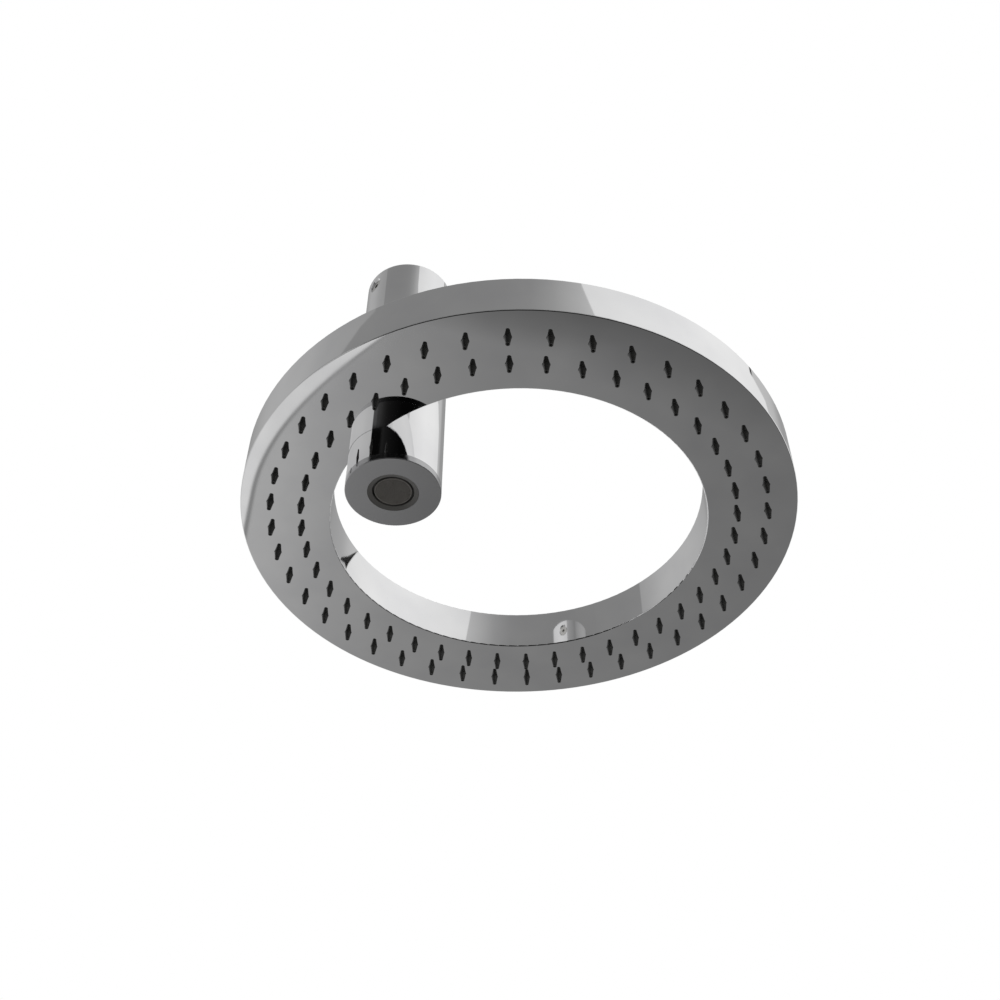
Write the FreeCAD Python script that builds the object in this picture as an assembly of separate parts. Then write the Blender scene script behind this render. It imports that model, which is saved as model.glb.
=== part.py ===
import FreeCAD, Part
import math
import os

# A ceiling shower head. A flat chrome ring rains through two circles of soft nozzles.
# A chrome stem carries it off centre and ends in a jet outlet of its own.
# Millimetres. The origin is the centre of the stem's top face, where it meets the ceiling.
# +Z is up, and +X runs from the stem towards the middle of the ring.

# Ring
ring_outer_diameter = 300.0
ring_inner_diameter = 204.5
ring_height = 24.0
ring_wall = 1.5
face_thickness = 1.5
lower_edge_round = 0.5
upper_edge_round = 0.3
saddle_depth = 5.2
saddle_clearance = 0.1

# Nozzles
nozzles_per_circle = 42
nozzle_circle_margin = 15.75
nozzle_circle_pitch = 16.25
nozzle_base_diameter = 3.9
nozzle_tip_diameter = 2.3
nozzle_bore = 1.4
nozzle_cone_length = 4.7
nozzle_projection = 5.4
nozzle_hole_clearance = 0.1

# Mat and distributor plate
mat_thickness = 1.8
plate_thickness = 2.5
plate_edge_gap = 0.3
feed_hole_diameter = 2.4

# Pillars between the face and the back cover
pillar_spacing_in_nozzles = 3
pillar_circle_margin = 23.875
pillar_hexagon = 5.5
pillar_thread = 3.0
boss_diameter = 6.4
boss_hole_clearance = 0.15
face_left_under_stud = 0.7
pillar_screw_hole_depth = 7.0

# Back cover and its seals
cover_thickness = 2.0
cover_edge_gap = 0.1
cover_screw_head = 5.6
cover_screw_length = 6.5
cover_screw_socket = 2.0
cover_seal_thickness = 1.0
ledge_width = 3.0
ledge_thickness = 1.5
seal_edge_gap = 0.2
washer_thickness = 0.5
washer_diameter = 5.2
screw_clearance = 0.15
head_sink = 0.1

# Stem
stem_diameter = 48.5
stem_length = 161.1
stem_below_face = 22.9
sleeve_wall = 1.5
sleeve_fit = 0.15
stem_edge_round = 0.3
end_plate_thickness = 3.7

# Screws near the top of the stem
stem_screw_drop = 8.6
stem_screw_thread = 4.0
stem_screw_head = 7.8
stem_screw_sink = 0.9
stem_screw_length = 10.0
stem_screw_socket = 2.5
socket_depth = 1.5

# Inlet hub
inlet_thread_diameter = 18.6
inlet_thread_length = 12.2
inlet_relief_diameter = 21.2
inlet_relief_depth = 2.8
hub_flange_height = 17.0
hub_neck_diameter = 27.0
ceiling_screw_inset = 4.35
ceiling_screw_hole = 4.5
ceiling_screw_count = 4
regulator_diameter = 14.0
regulator_height = 6.0
regulator_bore = 5.0
regulator_ledge_bore = 10.0
regulator_ledge_thickness = 4.0
regulator_fit = 0.1
inlet_washer_thickness = 2.0
inlet_washer_bore = 11.0
inlet_washer_fit = 0.1
filter_thickness = 0.4

# Supply tube
tube_diameter = 18.0
tube_wall = 1.5
tube_fit = 0.1
tube_end_gap = 0.3
hub_socket_depth = 15.0
body_socket_depth = 12.0
tube_seal_section = 1.8
tube_seal_inset = 4.0
tube_seal_pitch = 5.0
groove_slack = 0.1

# Outlet body
body_height = 61.0
body_spigot_height = 5.0
body_waist_diameter = 35.0
water_bore = 16.0
jet_bore = 12.0
port_block_drop = 13.0

# Jet outlet
jet_thread_diameter = 26.0
jet_thread_fit = 0.1
jet_socket_depth = 13.5
jet_rim_sink = 0.8
jet_rim_width = 2.3
jet_lip_height = 1.7
jet_cup_wall = 1.2
jet_disc_gap = 1.2
jet_screen_thickness = 0.6
jet_insert_fit = 0.1
jet_insert_gap_above = 1.0
jet_hole_diameter = 1.6
jet_hole_pitch = 2.6
jet_hole_edge = 0.5
jet_gasket_thickness = 2.0
jet_gasket_bore = 17.0
strainer_height = 3.0
strainer_wall = 0.4
strainer_diameter = 16.0

# Bracket and hollow bolt between stem and ring
bracket_thickness = 4.6
bracket_width = 40.0
ring_bolt_thread = 10.0
ring_bolt_bore = 7.0
ring_bolt_head = 13.0
ring_bolt_head_height = 3.2
ring_bolt_hexagon = 8.0
ring_bolt_hex_depth = 2.6
ring_bolt_spot_depth = 1.0
ring_bolt_clearance = 0.1
ring_bolt_end_gap = 1.0
ring_bolt_plate_gap = 0.35
bolt_seal_section = 1.2
clamp_screw_angle = 27.0
clamp_screw_thread = 4.0
clamp_screw_head = 7.4
clamp_screw_length = 12.0
clamp_screw_socket = 2.5
clamp_screw_sink = 0.7

# Room that a cutting tool runs past the metal it cuts
overrun = 1.0

# Radii worked out from the diameters
ring_outer_radius = ring_outer_diameter / 2
ring_inner_radius = ring_inner_diameter / 2
stem_radius = stem_diameter / 2
sleeve_inner_radius = stem_radius - sleeve_wall
core_radius = sleeve_inner_radius - sleeve_fit
saddle_radius = stem_radius + saddle_clearance
saddle_wall_radius = saddle_radius + ring_wall
bracket_radius = saddle_wall_radius + bracket_thickness
water_radius = water_bore / 2
tube_radius = tube_diameter / 2
tube_socket_radius = tube_radius + tube_fit
jet_thread_radius = jet_thread_diameter / 2
jet_cup_radius = jet_thread_radius - jet_thread_fit
jet_pocket_radius = jet_cup_radius - jet_cup_wall
jet_rim_inner_radius = jet_cup_radius - jet_rim_width
jet_disc_radius = jet_rim_inner_radius - jet_disc_gap

# Distance of the ring's axis from the stem's axis
ring_offset = ring_inner_radius - stem_radius + saddle_depth

# Heights of the ring, from its lower face upwards
face_bottom = stem_below_face - stem_length
face_top = face_bottom + face_thickness
mat_top = face_top + mat_thickness
plate_top = mat_top + plate_thickness
ring_top = face_bottom + ring_height
cover_bottom = ring_top - cover_thickness
pillar_top = cover_bottom - washer_thickness
ledge_top = cover_bottom - cover_seal_thickness
ledge_bottom = ledge_top - ledge_thickness
port_height = plate_top + ring_bolt_plate_gap + ring_bolt_head / 2

# Heights of the stem, from its lower end upwards
stem_bottom = -stem_length
end_plate_top = stem_bottom + end_plate_thickness
body_top = stem_bottom + body_height
body_socket_bottom = body_top - body_socket_depth

# Levels of the inlet, from the ceiling downwards
inlet_thread_end = -inlet_thread_length
inlet_floor = inlet_thread_end - inlet_relief_depth
regulator_floor = inlet_floor - regulator_height
hub_socket_top = regulator_floor - regulator_ledge_thickness
hub_bottom = hub_socket_top - hub_socket_depth
tube_top = hub_socket_top - tube_end_gap

# Levels of the jet outlet, from the stem's lower end upwards
jet_disc_bottom = stem_bottom + jet_rim_sink
jet_lip_top = jet_disc_bottom + jet_lip_height
jet_seat = stem_bottom + jet_socket_depth
jet_cup_top = jet_seat - jet_gasket_thickness
jet_insert_top = jet_cup_top - jet_insert_gap_above


# Shared shapes


def post(radius, low, high, x=0.0, y=0.0):
    """Upright cylinder between two heights."""
    return Part.makeCylinder(radius, high - low, FreeCAD.Vector(x, y, low))


def tube(outer_radius, inner_radius, low, high, x=0.0, y=0.0):
    """Upright round wall between two heights."""
    hole = post(inner_radius, low - overrun, high + overrun, x, y)
    return post(outer_radius, low, high, x, y).cut(hole)


def turned(profile):
    """Solid turned about the stem's axis from a closed outline of radius and height."""
    corners = [FreeCAD.Vector(radius, 0, height) for radius, height in profile]
    outline = Part.makePolygon(corners + corners[:1])
    return Part.Face(outline).revolve(FreeCAD.Vector(), FreeCAD.Vector(0, 0, 1), 360)


def outward(azimuth):
    """Level unit vector that leaves the stem's axis at an angle in degrees from +X."""
    return FreeCAD.Vector(math.cos(math.radians(azimuth)), math.sin(math.radians(azimuth)), 0)


def level_bar(radius, start, end, azimuth, height):
    """Round bar that lies level, between two distances from the stem's axis."""
    direction = outward(azimuth)
    foot = direction * start + FreeCAD.Vector(0, 0, height)
    return Part.makeCylinder(radius, end - start, foot, direction)


def level_cone(inner_radius, outer_radius, start, end, azimuth, height):
    """Cone that lies level and changes radius between two distances from the stem's axis."""
    direction = outward(azimuth)
    foot = direction * start + FreeCAD.Vector(0, 0, height)
    return Part.makeCone(inner_radius, outer_radius, end - start, foot, direction)


def hexagon_bar(across_flats, length):
    """Hexagonal bar that stands on the origin."""
    corner_radius = across_flats / 2 / math.cos(math.radians(30))
    corners = [outward(60 * index) * corner_radius for index in range(6)]
    outline = Part.makePolygon(corners + corners[:1])
    return Part.Face(outline).extrude(FreeCAD.Vector(0, 0, length))


def laid_level(shape, distance, azimuth, height):
    """Stand a shape's +Z along the outward direction, at a distance from the stem's axis."""
    turn = FreeCAD.Rotation(FreeCAD.Vector(0, 0, 1), outward(azimuth))
    place = outward(azimuth) * distance + FreeCAD.Vector(0, 0, height)
    shape.Placement = FreeCAD.Placement(place, turn)
    return shape


def round_edges(shape, height, radii, size):
    """Round the circular edges at one height whose radius is one of those given."""
    chosen = []
    for edge in shape.Edges:
        circular = isinstance(edge.Curve, Part.Circle)
        level = max(abs(edge.BoundBox.ZMin - height), abs(edge.BoundBox.ZMax - height)) < size / 2
        if circular and level and any(abs(edge.Curve.Radius - radius) < size / 2 for radius in radii):
            chosen.append(edge)
    return shape.makeFillet(size, chosen)


def band(inset, notch_radius, low, high):
    """Slab of the ring's outline, drawn in by an inset, with the notch for the stem."""
    slab = post(ring_outer_radius - inset, low, high, ring_offset)
    hole = post(ring_inner_radius + inset, low - overrun, high + overrun, ring_offset)
    notch = post(notch_radius, low - overrun, high + overrun)
    return slab.cut(hole).cut(notch)


def around_ring(radius, count, first_step=0.0):
    """Points on a circle about the ring's axis, counted from the side nearest the stem."""
    points = []
    for index in range(count):
        angle = math.radians(180 + (index + first_step) * 360 / count)
        points.append((ring_offset + radius * math.cos(angle), radius * math.sin(angle)))
    return points


def nozzle_circle_radii():
    """Radii of the nozzle circles, as many as the face has room for, spread evenly over it."""
    first = ring_inner_radius + nozzle_circle_margin
    last = ring_outer_radius - nozzle_circle_margin
    steps = round((last - first) / nozzle_circle_pitch)
    if steps < 1:
        return [(first + last) / 2]
    return [first + (last - first) * step / steps for step in range(steps + 1)]


def nozzle_points():
    """Centres of all nozzles: every circle at the same angles, none in line with the stem."""
    half_step = 0.5
    points = []
    for radius in nozzle_circle_radii():
        points += around_ring(radius, nozzles_per_circle, half_step)
    return points


def pillar_points():
    """Centres of the pillars, at angles midway between neighbouring nozzles."""
    radius = ring_inner_radius + pillar_circle_margin
    return around_ring(radius, nozzles_per_circle // pillar_spacing_in_nozzles)


def posts_at(points, radius, low, high):
    """Upright cylinders at several points."""
    return [post(radius, low, high, x, y) for x, y in points]


def copies_at(points, shape):
    """One solid copied to several points, as a compound."""
    return Part.makeCompound([shape.translated(FreeCAD.Vector(x, y, 0)) for x, y in points])


def countersunk_screw(head_diameter, thread, length, socket):
    """Countersunk screw that points down from the origin, with a hexagon socket."""
    head_height = (head_diameter - thread) / 2
    head = Part.makeCone(thread / 2, head_diameter / 2, head_height, FreeCAD.Vector(0, 0, -head_height))
    shank = post(thread / 2, -length, -head_height)
    key_hole = hexagon_bar(socket, socket_depth + overrun).translated(FreeCAD.Vector(0, 0, -socket_depth))
    return head.fuse(shank).removeSplitter().cut(key_hole)


# Ring pieces


def make_ring_housing():
    """Channel ring: lower face, outer and inner walls, the stem's saddle and the seal ledges."""
    body = band(0.0, saddle_radius, face_bottom, ring_top)
    body = round_edges(body, face_bottom, (ring_outer_radius, ring_inner_radius), lower_edge_round)
    body = round_edges(body, ring_top, (ring_outer_radius, ring_inner_radius), upper_edge_round)
    body = body.cut(band(ring_wall, saddle_wall_radius, face_top, ring_top + overrun))
    ledge_room = band(ring_wall + ledge_width, saddle_wall_radius + ledge_width,
                      ledge_bottom - overrun, ledge_top + overrun)
    body = body.fuse(band(ring_wall, saddle_wall_radius, ledge_bottom, ledge_top).cut(ledge_room))
    body = body.fuse(posts_at(pillar_points(), boss_diameter / 2, face_top, mat_top))
    hole_radius = nozzle_base_diameter / 2 + nozzle_hole_clearance
    nozzle_holes = posts_at(nozzle_points(), hole_radius, face_bottom - overrun, face_top + overrun)
    stud_floor = face_bottom + face_left_under_stud
    stud_holes = posts_at(pillar_points(), pillar_thread / 2, stud_floor, mat_top + overrun)
    body = body.cut(nozzle_holes + stud_holes)
    return body.cut(ring_port_hole()).cut(clamp_screw_holes()).removeSplitter()


def make_nozzle_mat():
    """Silicone mat on the face, with a nozzle through each of the face's holes."""
    mat = band(plate_inset(), plate_notch_radius(), face_top, mat_top)
    base_radius = nozzle_base_diameter / 2
    tip_radius = nozzle_tip_diameter / 2
    collar = post(base_radius, face_bottom, mat_top)
    cone_end = face_bottom - nozzle_cone_length
    cone = Part.makeCone(tip_radius, base_radius, nozzle_cone_length, FreeCAD.Vector(0, 0, cone_end))
    tip_end = face_bottom - nozzle_projection
    nozzle = collar.fuse([cone, post(tip_radius, tip_end, cone_end)]).removeSplitter()
    mat = mat.fuse([nozzle.translated(FreeCAD.Vector(x, y, 0)) for x, y in nozzle_points()])
    bores = posts_at(nozzle_points(), nozzle_bore / 2, tip_end - overrun, mat_top + overrun)
    boss_radius = boss_diameter / 2 + boss_hole_clearance
    boss_holes = posts_at(pillar_points(), boss_radius, face_top - overrun, mat_top + overrun)
    return mat.cut(bores + boss_holes).removeSplitter()


def make_distributor_plate():
    """Rigid plate that rests on the bosses, presses the mat down and feeds each nozzle."""
    plate = band(plate_inset(), plate_notch_radius(), mat_top, plate_top)
    feeds = posts_at(nozzle_points(), feed_hole_diameter / 2, mat_top - overrun, plate_top + overrun)
    stud_radius = pillar_thread / 2 + screw_clearance
    studs = posts_at(pillar_points(), stud_radius, mat_top - overrun, plate_top + overrun)
    return plate.cut(feeds + studs)


def plate_inset():
    """Distance of the plate's and the mat's edges from the ring's outer surfaces."""
    return ring_wall + ledge_width + plate_edge_gap


def plate_notch_radius():
    """Radius of the plate's and the mat's notch, which clears the bracket."""
    return bracket_radius + plate_edge_gap


def make_standoffs():
    """Hexagon pillars, each with a stud in the face's boss and a tapped hole for the cover."""
    hexagon = hexagon_bar(pillar_hexagon, pillar_top - plate_top)
    hexagon = hexagon.translated(FreeCAD.Vector(0, 0, plate_top))
    stud = post(pillar_thread / 2, face_bottom + face_left_under_stud, plate_top)
    tapped_hole = post(pillar_thread / 2, pillar_top - pillar_screw_hole_depth, pillar_top + overrun)
    return copies_at(pillar_points(), hexagon.fuse(stud).cut(tapped_hole))


def make_screw_seals():
    """Sealing washers between the pillars and the back cover."""
    inner_radius = pillar_thread / 2 + screw_clearance
    return copies_at(pillar_points(), tube(washer_diameter / 2, inner_radius, pillar_top, cover_bottom))


def make_back_cover():
    """Annular plate that closes the ring from above, flush with its walls."""
    cover = band(ring_wall + cover_edge_gap, saddle_wall_radius + cover_edge_gap, cover_bottom, ring_top)
    hole_radius = pillar_thread / 2 + screw_clearance
    holes = posts_at(pillar_points(), hole_radius, cover_bottom - overrun, ring_top + overrun)
    head_radius = cover_screw_head / 2 + screw_clearance
    depth = head_radius - hole_radius
    sink_floor = FreeCAD.Vector(0, 0, ring_top - head_sink - depth)
    sink = Part.makeCone(hole_radius, head_radius, depth, sink_floor)
    sink = sink.fuse(post(head_radius, ring_top - head_sink, ring_top + overrun))
    return cover.cut(holes).cut(copies_at(pillar_points(), sink))


def make_cover_screws():
    """Countersunk screws that hold the back cover on the pillars."""
    screw = countersunk_screw(cover_screw_head, pillar_thread, cover_screw_length, cover_screw_socket)
    return copies_at(pillar_points(), screw.translated(FreeCAD.Vector(0, 0, ring_top - head_sink)))


def cover_seal_band(inset):
    """Slab at the height of the cover's seals, drawn in by an inset from the walls."""
    return band(ring_wall + inset, saddle_wall_radius + inset, ledge_top, cover_bottom)


def make_cover_seals():
    """Flat gaskets on the two ledges: the outer circle, and the inner one that rounds the stem."""
    both = cover_seal_band(seal_edge_gap).cut(cover_seal_band(ledge_width - seal_edge_gap))
    by_length = sorted(both.Solids, key=lambda gasket: gasket.BoundBox.XLength)
    return by_length[1], by_length[0]


# Joint between ring and stem


def ring_port_hole():
    """Level hole for the hollow bolt, through the bracket, the saddle and the sleeve."""
    radius = ring_bolt_thread / 2 + ring_bolt_clearance
    return level_bar(radius, 0, bracket_radius + overrun, 180, port_height)


def clamp_screw_azimuths():
    """Angles of the two clamp screws, one each side of the hollow bolt."""
    return 180 - clamp_screw_angle, 180 + clamp_screw_angle


def clamp_screw_holes():
    """Level clearance holes of the clamp screws."""
    radius = clamp_screw_thread / 2 + screw_clearance
    holes = [level_bar(radius, 0, bracket_radius + overrun, azimuth, port_height)
             for azimuth in clamp_screw_azimuths()]
    return Part.makeCompound(holes)


def clamp_head_distance():
    """Distance of the clamp screws' head faces from the stem's axis."""
    return bracket_radius - clamp_screw_sink


def make_ring_bracket():
    """Saddle block behind the ring's wall, which takes the pull of the bolt and the screws."""
    room = band(ring_wall, saddle_wall_radius, face_top, ledge_bottom)
    block = room.common(post(bracket_radius, face_top, ledge_bottom))
    corner = FreeCAD.Vector(-bracket_radius, -bracket_width / 2, face_top)
    block = block.common(Part.makeBox(bracket_radius, bracket_width, ledge_bottom - face_top, corner))
    spot_face = bracket_radius - ring_bolt_spot_depth
    spot_radius = ring_bolt_head / 2 + screw_clearance
    block = block.cut(level_bar(spot_radius, spot_face, bracket_radius + overrun, 180, port_height))
    block = block.cut([ring_port_hole(), bolt_seal_groove(spot_face)]).cut(clamp_screw_holes())
    head_radius = clamp_screw_head / 2 + screw_clearance
    hole_radius = clamp_screw_thread / 2 + screw_clearance
    head_face = clamp_head_distance()
    start = head_face - (head_radius - hole_radius)
    for azimuth in clamp_screw_azimuths():
        sink = level_cone(hole_radius, head_radius, start, head_face, azimuth, port_height)
        mouth = level_bar(head_radius, head_face, bracket_radius + overrun, azimuth, port_height)
        block = block.cut([sink, mouth])
    return block


def bolt_groove_radius():
    """Radius of the counterbores that hold the hollow bolt's O-rings."""
    return ring_bolt_thread / 2 + bolt_seal_section + groove_slack * 2


def body_seal_mouth():
    """Distance at which the outlet body's round side closes all round the O-ring."""
    return math.sqrt(core_radius ** 2 - bolt_groove_radius() ** 2)


def bolt_seal_groove(mouth):
    """Round counterbore for an O-ring on the hollow bolt, cut inwards from a distance."""
    end = mouth + bracket_thickness
    return level_bar(bolt_groove_radius(), mouth - bolt_seal_section, end, 180, port_height)


def make_ring_bolt():
    """Hollow bolt with a hexagon socket: its bore leads water from the stem into the ring."""
    seat = bracket_radius - ring_bolt_spot_depth
    head_end = seat + ring_bolt_head_height
    inner_end = water_radius + ring_bolt_end_gap
    shank = level_bar(ring_bolt_thread / 2, inner_end, seat, 180, port_height)
    head = level_bar(ring_bolt_head / 2, seat, head_end, 180, port_height)
    bore = level_bar(ring_bolt_bore / 2, inner_end - overrun, head_end + overrun, 180, port_height)
    key = hexagon_bar(ring_bolt_hexagon, ring_bolt_hex_depth + overrun)
    key_hole = laid_level(key, head_end - ring_bolt_hex_depth, 180, port_height)
    return head.fuse(shank).removeSplitter().cut([bore, key_hole])


def make_ring_bolt_seals():
    """O-rings of the hollow bolt: one under its head, one in the outlet body's port."""
    section = bolt_seal_section / 2 - groove_slack / 2
    radius = ring_bolt_thread / 2 + bolt_seal_section / 2 + groove_slack
    rings = []
    for mouth in (bracket_radius - ring_bolt_spot_depth, body_seal_mouth()):
        ring = Part.makeTorus(radius, section)
        rings.append(laid_level(ring, mouth - bolt_seal_section / 2, 180, port_height))
    return Part.makeCompound(rings)


def make_clamp_screws():
    """Two countersunk screws from inside the ring into the outlet body."""
    sizes = (clamp_screw_head, clamp_screw_thread, clamp_screw_length, clamp_screw_socket)
    screws = []
    for azimuth in clamp_screw_azimuths():
        screw = countersunk_screw(*sizes)
        screws.append(laid_level(screw, clamp_head_distance(), azimuth, port_height))
    return Part.makeCompound(screws)


# Stem pieces


def stem_screw_azimuths():
    """The stem's two screws face away from the ring's middle and towards it."""
    return 0, 180


def stem_screw_face():
    """Distance of the stem screws' head faces from the stem's axis."""
    return stem_radius - stem_screw_sink


def stem_screw_sinks():
    """Countersinks of the stem screws, through the sleeve and into the hub."""
    head_radius = stem_screw_head / 2 + screw_clearance
    hole_radius = stem_screw_thread / 2 + screw_clearance
    start = stem_screw_face() - (head_radius - hole_radius)
    mouth = stem_radius + overrun
    height = -stem_screw_drop
    mouth_radius = head_radius + mouth - stem_screw_face()
    sinks = [level_cone(hole_radius, mouth_radius, start, mouth, azimuth, height)
             for azimuth in stem_screw_azimuths()]
    return Part.makeCompound(sinks)


def stem_screw_holes(radius):
    """Level holes of the stem screws, of a given radius."""
    end = stem_screw_face() - stem_screw_length
    holes = [level_bar(radius, end, stem_radius + overrun, azimuth, -stem_screw_drop)
             for azimuth in stem_screw_azimuths()]
    return Part.makeCompound(holes)


def make_stem_sleeve():
    """Chrome tube of the stem, with holes for its screws and for the way into the ring."""
    sleeve = post(stem_radius, end_plate_top, 0)
    sleeve = round_edges(sleeve, 0, (stem_radius,), stem_edge_round)
    sleeve = sleeve.cut(post(sleeve_inner_radius, end_plate_top - overrun, overrun))
    clearance_hole = stem_screw_thread / 2 + screw_clearance
    sleeve = sleeve.cut(stem_screw_sinks()).cut(stem_screw_holes(clearance_hole))
    return sleeve.cut(ring_port_hole()).cut(clamp_screw_holes())


def make_stem_screws():
    """Two countersunk screws that hold the stem on its hub."""
    screws = []
    for azimuth in stem_screw_azimuths():
        screw = countersunk_screw(stem_screw_head, stem_screw_thread, stem_screw_length, stem_screw_socket)
        screws.append(laid_level(screw, stem_screw_face(), azimuth, -stem_screw_drop))
    return Part.makeCompound(screws)


def make_outlet_body():
    """Turned block in the foot of the stem: end plate, waterway, ring port and jet socket."""
    block_bottom = port_height - port_block_drop
    spigot_top = end_plate_top + body_spigot_height
    waist_radius = body_waist_diameter / 2
    body = turned([
        (0, stem_bottom),
        (stem_radius, stem_bottom),
        (stem_radius, end_plate_top),
        (core_radius, end_plate_top),
        (core_radius, spigot_top),
        (waist_radius, spigot_top),
        (waist_radius, block_bottom),
        (core_radius, block_bottom),
        (core_radius, body_top),
        (0, body_top),
    ])
    body = round_edges(body, stem_bottom, (stem_radius,), stem_edge_round)
    body = body.cut([
        post(jet_thread_radius, stem_bottom - overrun, jet_seat),
        post(jet_bore / 2, jet_seat - overrun, port_height),
        post(water_radius, block_bottom, body_socket_bottom + overrun),
        post(tube_socket_radius, body_socket_bottom, body_top + overrun),
        level_bar(ring_bolt_thread / 2, 0, core_radius + overrun, 180, port_height),
        bolt_seal_groove(body_seal_mouth()),
    ])
    screw_end = clamp_head_distance() - clamp_screw_length
    thread_radius = clamp_screw_thread / 2
    for azimuth in clamp_screw_azimuths():
        body = body.cut(level_bar(thread_radius, screw_end, core_radius + overrun, azimuth, port_height))
    return body


def make_supply_tube():
    """Brass tube from the hub's socket down to the outlet body's socket."""
    return tube(tube_radius, tube_radius - tube_wall, body_socket_bottom, tube_top)


def tube_seal_heights():
    """Heights of the two O-rings in the hub's socket."""
    first = hub_bottom + tube_seal_inset
    return first, first + tube_seal_pitch


def make_inlet_hub():
    """Hub in the top of the stem: inlet thread, regulator seat, tube socket and screw holes."""
    neck_radius = hub_neck_diameter / 2
    hub = post(core_radius, -hub_flange_height, 0).fuse(post(neck_radius, hub_bottom, -hub_flange_height))
    hub = hub.removeSplitter().cut([
        post(inlet_thread_diameter / 2, inlet_thread_end - overrun, overrun),
        post(inlet_relief_diameter / 2, inlet_floor, inlet_thread_end),
        post(regulator_diameter / 2, regulator_floor, inlet_floor + overrun),
        post(regulator_ledge_bore / 2, hub_socket_top - overrun, regulator_floor + overrun),
        post(tube_socket_radius, hub_bottom - overrun, hub_socket_top),
    ])
    groove_radius = tube_socket_radius + tube_seal_section
    half_groove = tube_seal_section / 2 + groove_slack
    for height in tube_seal_heights():
        hub = hub.cut(post(groove_radius, height - half_groove, height + half_groove))
    hub = hub.cut(ceiling_screw_holes())
    return hub.cut(stem_screw_sinks()).cut(stem_screw_holes(stem_screw_thread / 2))


def ceiling_screw_holes():
    """Upright holes through the hub's flange for the ceiling screws."""
    half_step = 0.5
    circle_radius = core_radius - ceiling_screw_inset
    flange_bottom = -hub_flange_height
    holes = []
    for index in range(ceiling_screw_count):
        centre = outward((index + half_step) * 360 / ceiling_screw_count) * circle_radius
        holes.append(post(ceiling_screw_hole / 2, flange_bottom - overrun, overrun, centre.x, centre.y))
    return Part.makeCompound(holes)


def make_hub_seals():
    """O-rings in the hub's grooves, round the supply tube."""
    section = tube_seal_section / 2
    rings = []
    for height in tube_seal_heights():
        ring = Part.makeTorus(tube_radius + tube_fit / 2 + section, section)
        rings.append(ring.translated(FreeCAD.Vector(0, 0, height)))
    return Part.makeCompound(rings)


def make_inlet_washer():
    """Flat rubber washer on the floor of the inlet, in the groove below the thread."""
    outer_radius = inlet_thread_diameter / 2 - inlet_washer_fit
    return tube(outer_radius, inlet_washer_bore / 2, inlet_floor, inlet_floor + inlet_washer_thickness)


def make_inlet_filter():
    """Gauze disc that lies on the washer."""
    bottom = inlet_floor + inlet_washer_thickness
    return post(inlet_thread_diameter / 2 - inlet_washer_fit, bottom, bottom + filter_thickness)


def make_flow_regulator():
    """Flow regulator on its ledge under the washer."""
    return tube(regulator_diameter / 2 - regulator_fit, regulator_bore / 2, regulator_floor, inlet_floor)


# Jet outlet pieces


def make_jet_housing():
    """Threaded cup of the outlet, with a sloping rim and a lip that carries the insert."""
    return turned([
        (jet_cup_radius, stem_bottom),
        (jet_cup_radius, jet_cup_top),
        (jet_pocket_radius, jet_cup_top),
        (jet_pocket_radius, jet_lip_top),
        (jet_rim_inner_radius, jet_lip_top),
        (jet_rim_inner_radius, jet_disc_bottom),
    ])


def jet_hole_points():
    """Centres of the straightener's holes: one in the middle and circles round it."""
    room = jet_disc_radius - jet_hole_edge - jet_hole_diameter / 2
    circle_count = int(room / jet_hole_pitch)
    points = [(0.0, 0.0)]
    for circle in range(1, circle_count + 1):
        holes_in_circle = 6 * circle
        for index in range(holes_in_circle):
            centre = outward(index * 360 / holes_in_circle) * (circle * jet_hole_pitch)
            points.append((centre.x, centre.y))
    return points


def make_jet_insert():
    """Flow straightener: a plug full of small holes that rests on the cup's lip."""
    screen_top = jet_disc_bottom + jet_screen_thickness
    flange = post(jet_pocket_radius - jet_insert_fit, jet_lip_top, jet_insert_top)
    nose = post(jet_disc_radius, screen_top, jet_lip_top)
    hole_radius = jet_hole_diameter / 2
    holes = posts_at(jet_hole_points(), hole_radius, screen_top - overrun, jet_insert_top + overrun)
    return flange.fuse(nose).removeSplitter().cut(holes)


def make_jet_screen():
    """Disc of fine wire cloth on the nose of the insert."""
    return post(jet_disc_radius, jet_disc_bottom, jet_disc_bottom + jet_screen_thickness)


def make_jet_strainer():
    """Domed gauze on top of the insert."""
    rim_radius = strainer_diameter / 2
    dome_radius = (rim_radius ** 2 + strainer_height ** 2) / (2 * strainer_height)
    centre = FreeCAD.Vector(0, 0, jet_insert_top + strainer_height - dome_radius)
    shell = Part.makeSphere(dome_radius, centre).cut(Part.makeSphere(dome_radius - strainer_wall, centre))
    return shell.common(post(dome_radius, jet_insert_top, jet_insert_top + strainer_height + overrun))


def make_jet_gasket():
    """Washer between the cup and the seat in the outlet body."""
    return tube(jet_cup_radius, jet_gasket_bore / 2, jet_cup_top, jet_seat)


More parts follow.
